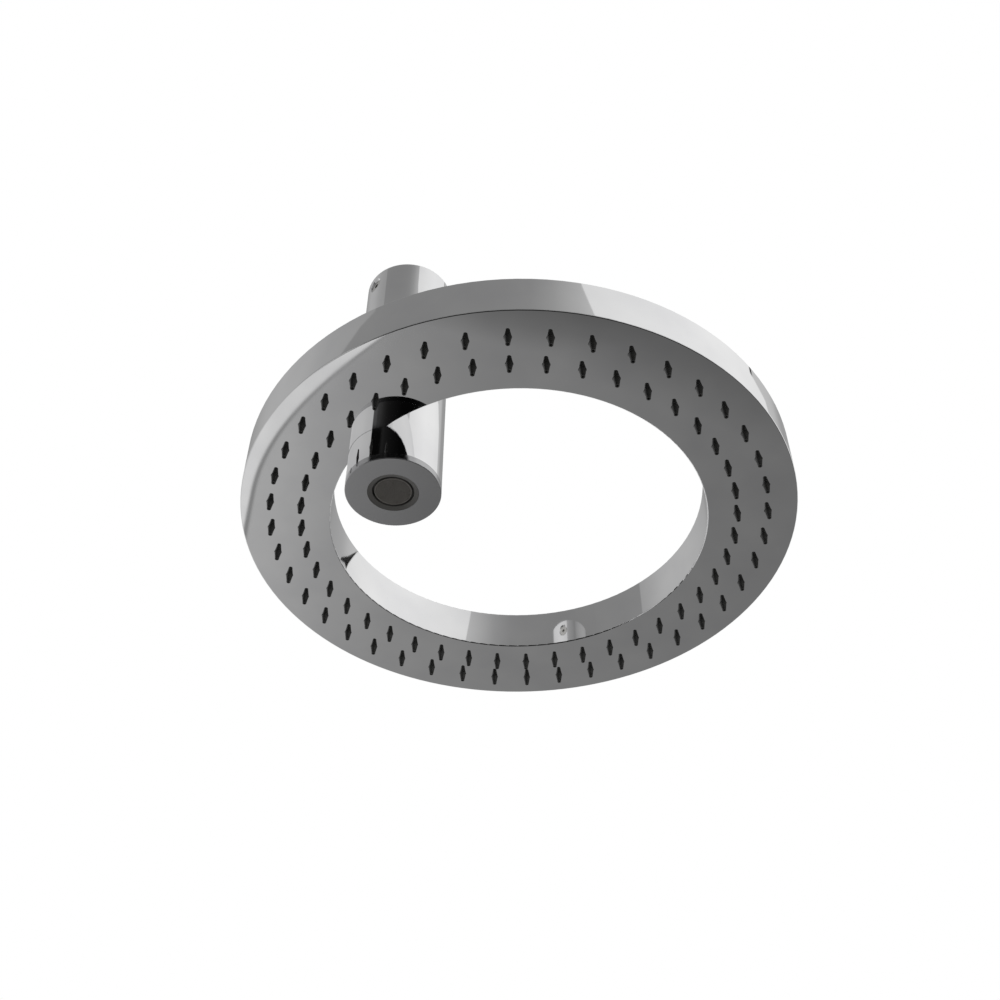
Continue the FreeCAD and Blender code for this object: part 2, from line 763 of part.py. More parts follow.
def make_all():
    """Every piece by its node's name."""
    outer_cover_seal, inner_cover_seal = make_cover_seals()
    return {
        "ring_housing": make_ring_housing(),
        "nozzle_mat": make_nozzle_mat(),
        "distributor_plate": make_distributor_plate(),
        "standoffs": make_standoffs(),
        "screw_seals": make_screw_seals(),
        "back_cover": make_back_cover(),
        "cover_screws": make_cover_screws(),
        "outer_cover_seal": outer_cover_seal,
        "inner_cover_seal": inner_cover_seal,
        "ring_bracket": make_ring_bracket(),
        "ring_bolt": make_ring_bolt(),
        "ring_bolt_seals": make_ring_bolt_seals(),
        "clamp_screws": make_clamp_screws(),
        "stem_sleeve": make_stem_sleeve(),
        "stem_screws": make_stem_screws(),
        "outlet_body": make_outlet_body(),
        "supply_tube": make_supply_tube(),
        "inlet_hub": make_inlet_hub(),
        "hub_seals": make_hub_seals(),
        "inlet_washer": make_inlet_washer(),
        "inlet_filter": make_inlet_filter(),
        "flow_regulator": make_flow_regulator(),
        "jet_housing": make_jet_housing(),
        "jet_insert": make_jet_insert(),
        "jet_screen": make_jet_screen(),
        "jet_strainer": make_jet_strainer(),
        "jet_gasket": make_jet_gasket(),
    }


if __name__ == "__main__":
    os.makedirs("parts", exist_ok=True)
    for node, shape in make_all().items():
        shape.exportStep("parts/" + node + ".step")
        print(node, len(shape.Solids), "solids", round(shape.Volume / 1000, 2), "cm3", shape.isValid())
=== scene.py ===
"""Dresses the ring shower head: its finishes, its soft nozzles, its wire cloths and its studio.

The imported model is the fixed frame, in metres. +Z is up, the ceiling is at height 0, and +X
runs from the stem's axis to the ring's axis.
"""
import logging
import math
from collections.abc import Callable, Sequence
from dataclasses import dataclass, replace
from enum import Enum

import bmesh
import bpy
from bpy.types import Material, Mesh, Node, NodeSocket, NodeTree, Object
from mathutils import Matrix, Vector


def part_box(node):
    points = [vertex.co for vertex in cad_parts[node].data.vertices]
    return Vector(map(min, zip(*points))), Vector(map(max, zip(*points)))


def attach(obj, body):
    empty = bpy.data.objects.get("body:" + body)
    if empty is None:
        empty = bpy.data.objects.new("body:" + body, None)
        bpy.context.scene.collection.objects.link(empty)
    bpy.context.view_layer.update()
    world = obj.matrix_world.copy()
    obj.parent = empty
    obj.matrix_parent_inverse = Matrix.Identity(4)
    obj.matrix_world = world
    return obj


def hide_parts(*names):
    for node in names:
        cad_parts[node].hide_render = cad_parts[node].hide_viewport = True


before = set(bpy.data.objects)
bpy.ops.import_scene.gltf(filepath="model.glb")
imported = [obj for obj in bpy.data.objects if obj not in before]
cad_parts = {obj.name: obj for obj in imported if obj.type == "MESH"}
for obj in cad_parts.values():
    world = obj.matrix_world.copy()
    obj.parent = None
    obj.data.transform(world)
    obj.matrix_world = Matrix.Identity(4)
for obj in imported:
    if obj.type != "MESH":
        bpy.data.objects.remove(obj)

MM = 0.001
LOG = logging.getLogger("shower_head")
WHITE = (1.0, 1.0, 1.0, 1.0)
# Nearly all of the noise lies between these values.
NOISE_SPAN = (0.3, 0.7)
# The length of one wave of the wave texture at a scale of 1, in metres.
WAVE_LENGTH = math.pi / 10

Linear = tuple[float, float, float, float]
Colour = str | Linear | NodeSocket
Span = tuple[float, float]
Course = tuple[tuple[float, float], ...]
Greys = tuple[tuple[int, int], ...]


class Slot(Enum):
    """The record's material slots, named when a piece is made; the pieces take their finish from their
    patterns.
    """

    NOZZLE_SILICONE = "nozzle_silicone"
    WIRE_CLOTH = "wire_cloth"
    STAINLESS = "stainless"


def linear(colour: str) -> Linear:
    """Turn an sRGB hex colour into linear light.

    Args:
        colour: the colour as "#RRGGBB".

    Returns:
        Linear red, green and blue, and an opaque alpha.
    """
    channels = [int(colour[start:start + 2], 16) / 255 for start in (1, 3, 5)]
    bent = [c / 12.92 if c <= 0.04045 else ((c + 0.055) / 1.055) ** 2.4 for c in channels]
    return (bent[0], bent[1], bent[2], 1.0)


def plain_grey(level: int) -> Linear:
    """Give the linear colour of a plain sRGB grey level, from 0 to 255."""
    return linear(f"#{level:02X}{level:02X}{level:02X}")


def add_node(tree: NodeTree, kind: str, inputs: dict | None = None, **settings: object) -> Node:
    """Add a node to a tree, with its settings and what goes into it.

    Args:
        tree: the tree that gets the node.
        kind: the node's type name.
        inputs: a value, a socket, or a node for its first output, for each input by name or number.
        settings: values for the node's own properties.

    Returns:
        The new node.
    """
    node = tree.nodes.new(kind)
    for name, value in settings.items():
        setattr(node, name, value)
    for name, value in (inputs or {}).items():
        if isinstance(value, Node):
            value = value.outputs[0]
        if isinstance(value, NodeSocket):
            tree.links.new(value, node.inputs[name])
        else:
            node.inputs[name].default_value = value
    return node


def new_piece(name: str, mesh: Mesh, slot: Slot, *stands_for: str) -> Object:
    """Put a finished mesh into the scene as a piece of the object.

    Args:
        name: the piece's name.
        mesh: its mesh, in place.
        slot: the record's slot that it stands for; not used.
        stands_for: the nodes that it is shown instead of.

    Returns:
        The piece.
    """
    piece = bpy.data.objects.new(name, mesh)
    bpy.context.scene.collection.objects.link(piece)
    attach(piece, "root")
    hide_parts(*stands_for)
    LOG.info("made %s with %d faces", name, len(mesh.polygons))
    return piece


def revolved(outline: Sequence[tuple[float, float]], steps: int, closed: bool) -> Mesh:
    """Turn an outline about the upright axis.

    Args:
        outline: radius and height of each point, so that the outside lies to its right.
        steps: how many facets go round.
        closed: whether the last point joins the first one.

    Returns:
        A mesh with smooth faces.
    """
    mesh = bpy.data.meshes.new("revolved")
    shape = bmesh.new()
    rings = []
    for radius, height in outline:
        if radius == 0:
            rings.append([shape.verts.new((0, 0, height))] * steps)
            continue
        angles = [2 * math.pi * step / steps for step in range(steps)]
        rings.append([shape.verts.new((radius * math.cos(a), radius * math.sin(a), height)) for a in angles])
    pairs = list(zip(rings, rings[1:] + rings[:1]))
    for low, high in pairs if closed else pairs[:-1]:
        for step in range(steps):
            after = (step + 1) % steps
            corners = dict.fromkeys((low[step], low[after], high[after], high[step]))
            shape.faces.new(corners).smooth = True
    bmesh.ops.recalc_face_normals(shape, faces=shape.faces)
    shape.to_mesh(mesh)
    shape.free()
    return mesh


def faced_outwards(mesh: Mesh) -> Mesh:
    """Turn the faces of a closed skin outwards, and give back the same mesh."""
    shape = bmesh.new()
    shape.from_mesh(mesh)
    bmesh.ops.recalc_face_normals(shape, faces=shape.faces)
    shape.to_mesh(mesh)
    shape.free()
    return mesh


def mottle(tree: NodeTree, place: NodeSocket, size: float, low: float, high: float) -> NodeSocket:
    """Soft random patches between two values.

    Args:
        tree: the material's nodes.
        place: the point on the object.
        size: about how wide a patch is, in metres.
        low: the value in the darkest patches.
        high: the value in the palest ones.

    Returns:
        The value's socket.
    """
    noise = add_node(tree, "ShaderNodeTexNoise", {"Vector": place, "Scale": 1 / size, "Detail": 3.0})
    spread = add_node(tree, "ShaderNodeMapRange", {
        "Value": noise.outputs["Fac"], "From Min": NOISE_SPAN[0], "From Max": NOISE_SPAN[1],
        "To Min": low, "To Max": high})
    return spread.outputs["Result"]


def blended(tree: NodeTree, share: NodeSocket, under: Colour, over: Colour) -> NodeSocket:
    """Lay one colour over another.

    Args:
        tree: the material's or the room's nodes.
        share: how much of the upper colour shows, from 0 to 1.
        under: the lower colour, as hex, as linear values or as a socket.
        over: the upper colour.

    Returns:
        The mixed colour's socket.
    """
    lower, upper = (linear(colour) if isinstance(colour, str) else colour for colour in (under, over))
    return add_node(tree, "ShaderNodeMix", {0: share, 6: lower, 7: upper}, data_type="RGBA").outputs[2]


def bumped(tree: NodeTree, surface: Node, height: NodeSocket, depth: float) -> None:
    """Let a height between 0 and 1 shape the surface, by at most a depth in metres."""
    bump = add_node(tree, "ShaderNodeBump", {"Height": height, "Distance": depth, "Strength": 1.0})
    tree.links.new(bump.outputs["Normal"], surface.inputs["Normal"])


@dataclass(frozen=True)
class Finish:
    """What every finish has: its main tone, a second tone that lies over it in patches, and its gloss."""

    name: str
    colour: str
    patch: str
    roughness: float
    metallic: float = 0.0
    ior: float = 1.5
    patch_size: float = 9 * MM
    patch_share: float = 1.0

    def material(self) -> Material:
        """Give this finish's material, built at its first use."""
        known = bpy.data.materials.get(self.name)
        if known is not None:
            return known
        made = bpy.data.materials.new(self.name)
        made.use_nodes = True
        tree = made.node_tree
        surface = tree.nodes["Principled BSDF"]
        surface.inputs["Base Color"].default_value = linear(self.colour)
        surface.inputs["Roughness"].default_value = self.roughness
        surface.inputs["Metallic"].default_value = self.metallic
        if self.metallic < 1:
            surface.inputs["IOR"].default_value = self.ior
        place = add_node(tree, "ShaderNodeTexCoord").outputs["Object"]
        tree.links.new(self.tone(tree, place), surface.inputs["Base Color"])
        self.add_detail(tree, surface, place)
        return made

    def tone(self, tree: NodeTree, place: NodeSocket) -> NodeSocket:
        """Give the colour, with its patches."""
        patches = mottle(tree, place, self.patch_size, 0.0, self.patch_share)
        return blended(tree, patches, self.colour, self.patch)

    def add_detail(self, tree: NodeTree, surface: Node, place: NodeSocket) -> None:
        """Add what the surface's process leaves on it, besides the colour.

        Args:
            tree: the material's nodes.
            surface: its shader.
            place: the point on the object, in metres.
        """
        raise NotImplementedError


@dataclass(frozen=True)
class ChromePlate(Finish):
    """Bright chrome plated on buffed brass: a mirror with faint haze left by the buffing wheel."""

    patch_size: float = 34 * MM
    haze: float = 0.012
    ripple_size: float = 9 * MM
    ripple_depth: float = 0.0001 * MM
    bare_metal: str = ""
    plated_below: float = 0.0

    def tone(self, tree: NodeTree, place: NodeSocket) -> NodeSocket:
        """Give the plating's colour, and the bare metal's where none is needed."""
        colour = Finish.tone(self, tree, place)
        if not self.bare_metal:
            return colour
        height = add_node(tree, "ShaderNodeSeparateXYZ", {0: place}).outputs["Z"]
        bare = add_node(tree, "ShaderNodeMath", {0: height, 1: self.plated_below}, operation="GREATER_THAN")
        return blended(tree, bare.outputs[0], colour, self.bare_metal)

    def add_detail(self, tree: NodeTree, surface: Node, place: NodeSocket) -> None:
        """Add haze in patches, and a ripple too small to bend an edge."""
        haze = mottle(tree, place, self.patch_size, self.roughness, self.roughness + self.haze)
        tree.links.new(haze, surface.inputs["Roughness"])
        bumped(tree, surface, mottle(tree, place, self.ripple_size, 0.0, 1.0), self.ripple_depth)


@dataclass(frozen=True)
class Moulded(Finish):
    """A surface pressed against a mould: it keeps the mould's fine grain."""

    grain_size: float = 0.4 * MM
    grain_depth: float = 0.004 * MM

    def add_detail(self, tree: NodeTree, surface: Node, place: NodeSocket) -> None:
        """Add the mould's grain."""
        bumped(tree, surface, mottle(tree, place, self.grain_size, 0.0, 1.0), self.grain_depth)


@dataclass(frozen=True)
class MouldedSilicone(Moulded):
    """Liquid silicone rubber: dull, with the grain of a spark-eroded mould, and a pale bloom in patches."""

    patch_size: float = 3.5 * MM
    grain_size: float = 0.25 * MM
    grain_depth: float = 0.006 * MM


@dataclass(frozen=True)
class MouldedPlastic(Moulded):
    """Acetal: a waxy half-gloss with a very fine even grain, and faint clouds where the melt flowed."""


@dataclass(frozen=True)
class TurnedMetal(Finish):
    """Metal turned on a lathe: fine rings left by the tool's feed, and dull patches of a bare cut."""

    patch_size: float = 11 * MM
    patch_share: float = 0.6
    feed: float = 0.35 * MM
    ring_depth: float = 0.004 * MM
    wander: float = 0.6

    def add_detail(self, tree: NodeTree, surface: Node, place: NodeSocket) -> None:
        """Add the tool's rings, drawn three times as coarse as real ones so that they show."""
        marks = {"Vector": place, "Scale": WAVE_LENGTH / self.feed, "Distortion": self.wander}
        bands = add_node(tree, "ShaderNodeTexWave", marks, wave_type="BANDS", bands_direction="Z")
        rings = add_node(tree, "ShaderNodeTexWave", marks, wave_type="RINGS", rings_direction="Z")
        both = add_node(tree, "ShaderNodeMath", {0: bands.outputs["Fac"], 1: rings.outputs["Fac"]},
                        operation="MULTIPLY")
        bumped(tree, surface, both.outputs[0], self.ring_depth)


@dataclass(frozen=True)
class DrawnWire(Finish):
    """Stainless wire drawn and woven: a satin gloss in streaks, and a film that clouds it in patches."""

    patch_size: float = 3 * MM
    streak_size: float = 0.08 * MM
    streak_dullness: float = 0.1

    def add_detail(self, tree: NodeTree, surface: Node, place: NodeSocket) -> None:
        """Add streaks in the gloss."""
        gloss = mottle(tree, place, self.streak_size, self.roughness, self.roughness + self.streak_dullness)
        tree.links.new(gloss, surface.inputs["Roughness"])


# The end plate is plated to just inside the sleeve's foot, and the block above it is bare brass.
PLATED_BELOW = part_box("stem_sleeve")[0].z + 0.2 * MM

# Buffed before it was plated: a clear mirror, with no colour of its own.
RING_CHROME = ChromePlate("chrome_plate", "#E8E8E8", "#DEDEDF", 0.018, 1.0)
# Plated over a turned face: satin, so it mirrors only what is light and what is dark. Its colour, darker than
# the ring's chrome, is painted shade that dims what the end plate mirrors.
OUTLET_CHROME_PAINTED_DARKER = ChromePlate("satin_chrome_painted_darker_on_end_plate", "#B0B0B1", "#ABABAC", 0.15, 1.0,
                            bare_metal="#C79F57", plated_below=PLATED_BELOW)
# Soft and near black, with a weak gloss that shows how round each nozzle is.
NOZZLE_RUBBER = MouldedSilicone("moulded_silicone", "#2B2B2A", "#323231", 0.25)
# Rubber of seals: matt and black.
SEAL_RUBBER = MouldedSilicone("moulded_seal_rubber", "#1C1C1D", "#262626", 0.6, ior=1.52)
# Brass straight from the lathe: yellow, with fine bright rings.
RAW_BRASS = TurnedMetal("turned_brass", "#C79F57", "#8F7443", 0.3, 1.0)
# Brass drawn through a die: as yellow, and smoother.
TUBE_BRASS = TurnedMetal("drawn_brass_tube", "#C8A25D", "#8F7443", 0.24, 1.0, feed=0.8 * MM,
                         ring_depth=0.001 * MM)
# Turned steel: a soft grey gloss.
STAINLESS = TurnedMetal("turned_stainless_steel", "#BDBBB6", "#A5A39E", 0.26, 1.0)
# Pressed and tumbled steel: paler than turned steel, with a clearer gloss.
SCREW_STEEL = TurnedMetal("pressed_screw_steel", "#C3C2BF", "#A9A7A3", 0.2, 1.0, ring_depth=0.002 * MM)
# Undyed acetal: milky and waxy.
WHITE_ACETAL = MouldedPlastic("moulded_white_acetal", "#DAD9D3", "#CBCAC4", 0.38, ior=1.48)
# Dyed acetal: a warm charcoal that looks soft beside the metal.
BLACK_ACETAL = MouldedPlastic("moulded_black_acetal", "#444341", "#403F3D", 0.42, ior=1.48)
# Blackened wires: a dark cloth whose crossings catch a little light.
CLOTH_WIRE = DrawnWire("woven_blackened_wire", "#595753", "#54514E", 0.5)
# Bright wires: a grey haze over what lies behind them.
GAUZE_WIRE = DrawnWire("woven_filter_wire", "#A9A7A2", "#8A8883", 0.3, 1.0)


def dress(finish: Finish, *nodes: str) -> None:
    """Give nodes of the frame a finish."""
    for name in nodes:
        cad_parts[name].material_slots[0].material = finish.material()
        LOG.info("dressed %s in %s", name, finish.name)


SOCKET_KINDS = {float: "NodeSocketFloat", int: "NodeSocketInt", Object: "NodeSocketObject"}


@dataclass(frozen=True)
class Pattern:
    """A tree of geometry nodes that repeats a shape, with named inputs for its sizes."""

    name: str
    inputs: dict[str, float | int | Object]
    lay_out: Callable[[NodeTree, Node], NodeSocket]
    finish: Finish

    def tree(self) -> NodeTree:
        """Build the tree, which ends in plain faces with the finish on them."""
        tree = bpy.data.node_groups.new(self.name, "GeometryNodeTree")
        tree.interface.new_socket("Geometry", in_out="OUTPUT", socket_type="NodeSocketGeometry")
        tree.interface.new_socket("Geometry", in_out="INPUT", socket_type="NodeSocketGeometry")
        for name, value in self.inputs.items():
            tree.interface.new_socket(name, in_out="INPUT", socket_type=SOCKET_KINDS[type(value)])
        given = add_node(tree, "NodeGroupInput")
        plain = add_node(tree, "GeometryNodeRealizeInstances", {0: self.lay_out(tree, given)})
        dressed = add_node(tree, "GeometryNodeSetMaterial", {
            0: plain, "Material": self.finish.material()})
        add_node(tree, "NodeGroupOutput", {0: dressed})
        return tree

    def grow(self, start: Mesh) -> Mesh:
        """Run the tree on a mesh.

        Args:
            start: the mesh that the tree's copies join.

        Returns:
            The result as a plain mesh.
        """
        carrier = bpy.data.objects.new(self.name, start)
        bpy.context.scene.collection.objects.link(carrier)
        modifier = carrier.modifiers.new(self.name, "NODES")
        modifier.node_group = self.tree()
        sides = modifier.node_group.interface.items_tree
        sockets = {side.name: side.identifier for side in sides if side.in_out == "INPUT"}
        for name, value in self.inputs.items():
            modifier[sockets[name]] = value
        bpy.context.view_layer.update()
        ready = carrier.evaluated_get(bpy.context.evaluated_depsgraph_get())
        mesh = bpy.data.meshes.new_from_object(ready)
        carrier.modifiers.remove(modifier)
        bpy.data.objects.remove(carrier)
        return mesh


def raised(tree: NodeTree, shape: NodeSocket, height: NodeSocket) -> NodeSocket:
    """Lift a geometry by a height."""
    way = add_node(tree, "ShaderNodeCombineXYZ", {"Z": height})
    return add_node(tree, "GeometryNodeTransform", {0: shape, "Translation": way}).outputs[0]


@dataclass
class NozzleMat:
    """The silicone mat on the ring's face: two circles of nozzles, and holes for the face's bosses."""

    nozzles_per_circle: int = 42
    inner_circle: float = 118.0 * MM
    outer_circle: float = 134.25 * MM
    base_radius: float = 1.95 * MM
    tip_radius: float = 1.15 * MM
    bore_radius: float = 0.7 * MM
    cone_length: float = 4.7 * MM
    tip_round: float = 0.22 * MM
    mat_thickness: float = 1.8 * MM
    bosses: int = 14
    boss_circle: float = 126.125 * MM
    boss_hole_radius: float = 3.35 * MM
    notch_radius: float = 30.5 * MM
    ring_width: float = 47.75 * MM
    wall_inset: float = 4.8 * MM
    nozzle_facets: int = 28
    mat_facets: int = 252
    weld: float = 0.005 * MM

    def __post_init__(self) -> None:
        """Take the ring's place and the mat's outer size from the frame."""
        ring_low, ring_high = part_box("ring_housing")
        mat_low, mat_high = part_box("nozzle_mat")
        self.face_height = ring_low.z
        self.ring_axis = (ring_low.x + ring_high.x) / 2
        self.outer_radius = (mat_high.y - mat_low.y) / 2
        self.inner_radius = ring_high.y - self.ring_width + self.wall_inset
        self.top_height = mat_high.z
        self.under_height = mat_high.z - self.mat_thickness
        self.tip_height = mat_low.z

    def nozzle_outline(self) -> list[tuple[float, float]]:
        """Radius and height along one nozzle's wall: down the cone, round the tip's lip and up the bore."""
        middle_radius = (self.base_radius + self.tip_radius) / 2
        lip = [(self.tip_radius - self.tip_round * (1 - math.cos(turn)),
                self.tip_height + self.tip_round * (1 - math.sin(turn)))
               for turn in (0, math.pi / 6, math.pi / 3, math.pi / 2)]
        return [
            (self.base_radius, self.under_height),
            (self.base_radius, self.face_height),
            (middle_radius, self.face_height - self.cone_length / 2),
            (self.tip_radius, self.face_height - self.cone_length),
            *lip,
            (self.bore_radius + self.tip_round / 2, self.tip_height),
            (self.bore_radius, self.tip_height + self.tip_round / 2),
            (self.bore_radius, self.under_height),
            (self.bore_radius, self.top_height),
        ]

    def inner_edge(self, angle: float) -> float:
        """Distance of the mat's inner edge from the ring's axis, in a direction.

        Args:
            angle: the direction, in radians from +X.

        Returns:
            The mat's inner radius, or the far side of the stem's notch where that lies further out.
        """
        along = -self.ring_axis * math.cos(angle)
        aside = self.ring_axis * math.sin(angle)
        if abs(aside) >= self.notch_radius or along < 0:
            return self.inner_radius
        return max(self.inner_radius, along + math.sqrt(self.notch_radius ** 2 - aside ** 2))

    def edges(self) -> Mesh:
        """Mesh of the mat's outer and inner edge, with the notch that clears the stem's bracket."""
        mesh = bpy.data.meshes.new("mat_edges")
        angles = [2 * math.pi * step / self.mat_facets for step in range(self.mat_facets)]
        radii = [self.outer_radius] * self.mat_facets + [self.inner_edge(angle) for angle in angles]
        points = [(self.ring_axis + r * math.cos(a), r * math.sin(a), 0.0) for r, a in zip(radii, angles * 2)]
        sides = [(first + step, first + (step + 1) % self.mat_facets)
                 for first in (0, self.mat_facets) for step in range(self.mat_facets)]
        mesh.from_pydata(points, sides, [])
        return mesh

    def circle_of(self, tree: NodeTree, given: Node, count: str, radius: str,
                  turn: NodeSocket | None) -> NodeSocket:
        """Points in a circle about the ring's axis, turned by an angle where one is given."""
        axis = add_node(tree, "ShaderNodeCombineXYZ", {"X": given.outputs["Ring axis"]})
        points = add_node(tree, "GeometryNodeMeshCircle", {
            "Vertices": given.outputs[count], "Radius": given.outputs[radius]})
        moved = add_node(tree, "GeometryNodeTransform", {
            0: points, "Translation": axis})
        if turn is not None:
            tree.links.new(turn, moved.inputs["Rotation"])
        return moved.outputs[0]

    def joined(self, tree: NodeTree, *parts: NodeSocket) -> NodeSocket:
        """Join geometries, the first one first, with every copy made real."""
        join = add_node(tree, "GeometryNodeJoinGeometry")
        for part in reversed(parts):
            tree.links.new(part, join.inputs[0])
        return add_node(tree, "GeometryNodeRealizeInstances", {0: join}).outputs[0]

    def sheet(self, tree: NodeTree, outline: NodeSocket, holes: NodeSocket,
              height: NodeSocket) -> NodeSocket:
        """Fill the mat's outline round its holes, at a height."""
        filled = add_node(tree, "GeometryNodeFillCurve", {0: self.joined(tree, outline, holes)})
        return raised(tree, filled.outputs[0], height)

    def wall(self, tree: NodeTree, edges: NodeSocket, low: NodeSocket,
             thickness: NodeSocket) -> NodeSocket:
        """Raise upright faces on closed edges."""
        upwards = add_node(tree, "ShaderNodeCombineXYZ", {"Z": thickness})
        return add_node(tree, "GeometryNodeExtrudeMesh", {
            "Mesh": raised(tree, edges, low), "Offset": upwards}, mode="EDGES").outputs["Mesh"]

    def lay_out(self, tree: NodeTree, given: Node) -> NodeSocket:
        """Stand nozzles in two circles, half a step off the stem's direction, and weld the mat to them.

        Args:
            tree: the tree to build in.
            given: the node that holds the tree's inputs.

        Returns:
            The mat with all the nozzles, as one closed skin.
        """
        half_step = add_node(tree, "ShaderNodeMath", {0: math.pi, 1: given.outputs["Nozzles in a circle"]},
                             operation="DIVIDE")
        turn = add_node(tree, "ShaderNodeCombineXYZ", {"Z": half_step}).outputs[0]
        nozzle_points = self.joined(tree, *[
            self.circle_of(tree, given, "Nozzles in a circle", circle, turn)
            for circle in ("Inner circle", "Outer circle")])
        boss_points = self.circle_of(tree, given, "Bosses", "Boss circle", None)
        nozzle = add_node(tree, "GeometryNodeObjectInfo", {"Object": given.outputs["Nozzle"]})
        hole = add_node(tree, "GeometryNodeMeshCircle", {
            "Vertices": self.nozzle_facets, "Radius": given.outputs["Boss hole radius"]}).outputs[0]
        low, high = given.outputs["Underside"], given.outputs["Top"]
        thickness = add_node(tree, "ShaderNodeMath", {0: high, 1: low}, operation="SUBTRACT").outputs[0]
        hole_edge = add_node(tree, "GeometryNodeMeshToCurve", {0: hole})
        boss_holes = self.at_points(tree, boss_points, hole_edge.outputs[0])
        outline = add_node(tree, "GeometryNodeMeshToCurve", {0: given.outputs["Geometry"]}).outputs[0]
        sheets = []
        for radius, height in (("Nozzle radius", low), ("Bore radius", high)):
            round_hole = add_node(tree, "GeometryNodeCurvePrimitiveCircle", {
                "Resolution": self.nozzle_facets, "Radius": given.outputs[radius]}).outputs[0]
            holes = self.joined(tree, boss_holes, self.at_points(tree, nozzle_points, round_hole))
            sheets.append(self.sheet(tree, outline, holes, height))
        boss_walls = self.at_points(tree, boss_points, self.wall(tree, hole, low, thickness))
        edge_walls = self.wall(tree, given.outputs["Geometry"], low, thickness)
        flat = self.joined(tree, *sheets, boss_walls, edge_walls)
        plain = add_node(tree, "GeometryNodeSetShadeSmooth", {0: flat, "Shade Smooth": False}).outputs[0]
        whole = self.joined(tree, plain, self.at_points(tree, nozzle_points, nozzle.outputs["Geometry"]))
        return add_node(tree, "GeometryNodeMergeByDistance", {0: whole, "Distance": self.weld}).outputs[0]

    def at_points(self, tree: NodeTree, points: NodeSocket,
                  shape: NodeSocket) -> NodeSocket:
        """Set a copy of a shape at every point."""
        copies = add_node(tree, "GeometryNodeInstanceOnPoints", {"Points": points, "Instance": shape})
        return copies.outputs[0]

    def build(self) -> Object:
        """Make the mat with its nozzles, in place of the frame's plain one."""
        skin = revolved(self.nozzle_outline(), self.nozzle_facets, closed=False)
        nozzle = bpy.data.objects.new("one_nozzle", skin)
        bpy.context.scene.collection.objects.link(nozzle)
        pattern = Pattern("nozzle_circles", {
            "Nozzle": nozzle,
            "Nozzles in a circle": self.nozzles_per_circle,
            "Inner circle": self.inner_circle,
            "Outer circle": self.outer_circle,
            "Nozzle radius": self.base_radius,
            "Bore radius": self.bore_radius,
            "Bosses": self.bosses,
            "Boss circle": self.boss_circle,
            "Boss hole radius": self.boss_hole_radius,
            "Ring axis": self.ring_axis,
            "Underside": self.under_height,
            "Top": self.top_height,
        }, self.lay_out, NOZZLE_RUBBER)
        mesh = faced_outwards(pattern.grow(self.edges()))
        bpy.data.objects.remove(nozzle)
        return new_piece("nozzle_mat_soft", mesh, Slot.NOZZLE_SILICONE, "nozzle_mat")


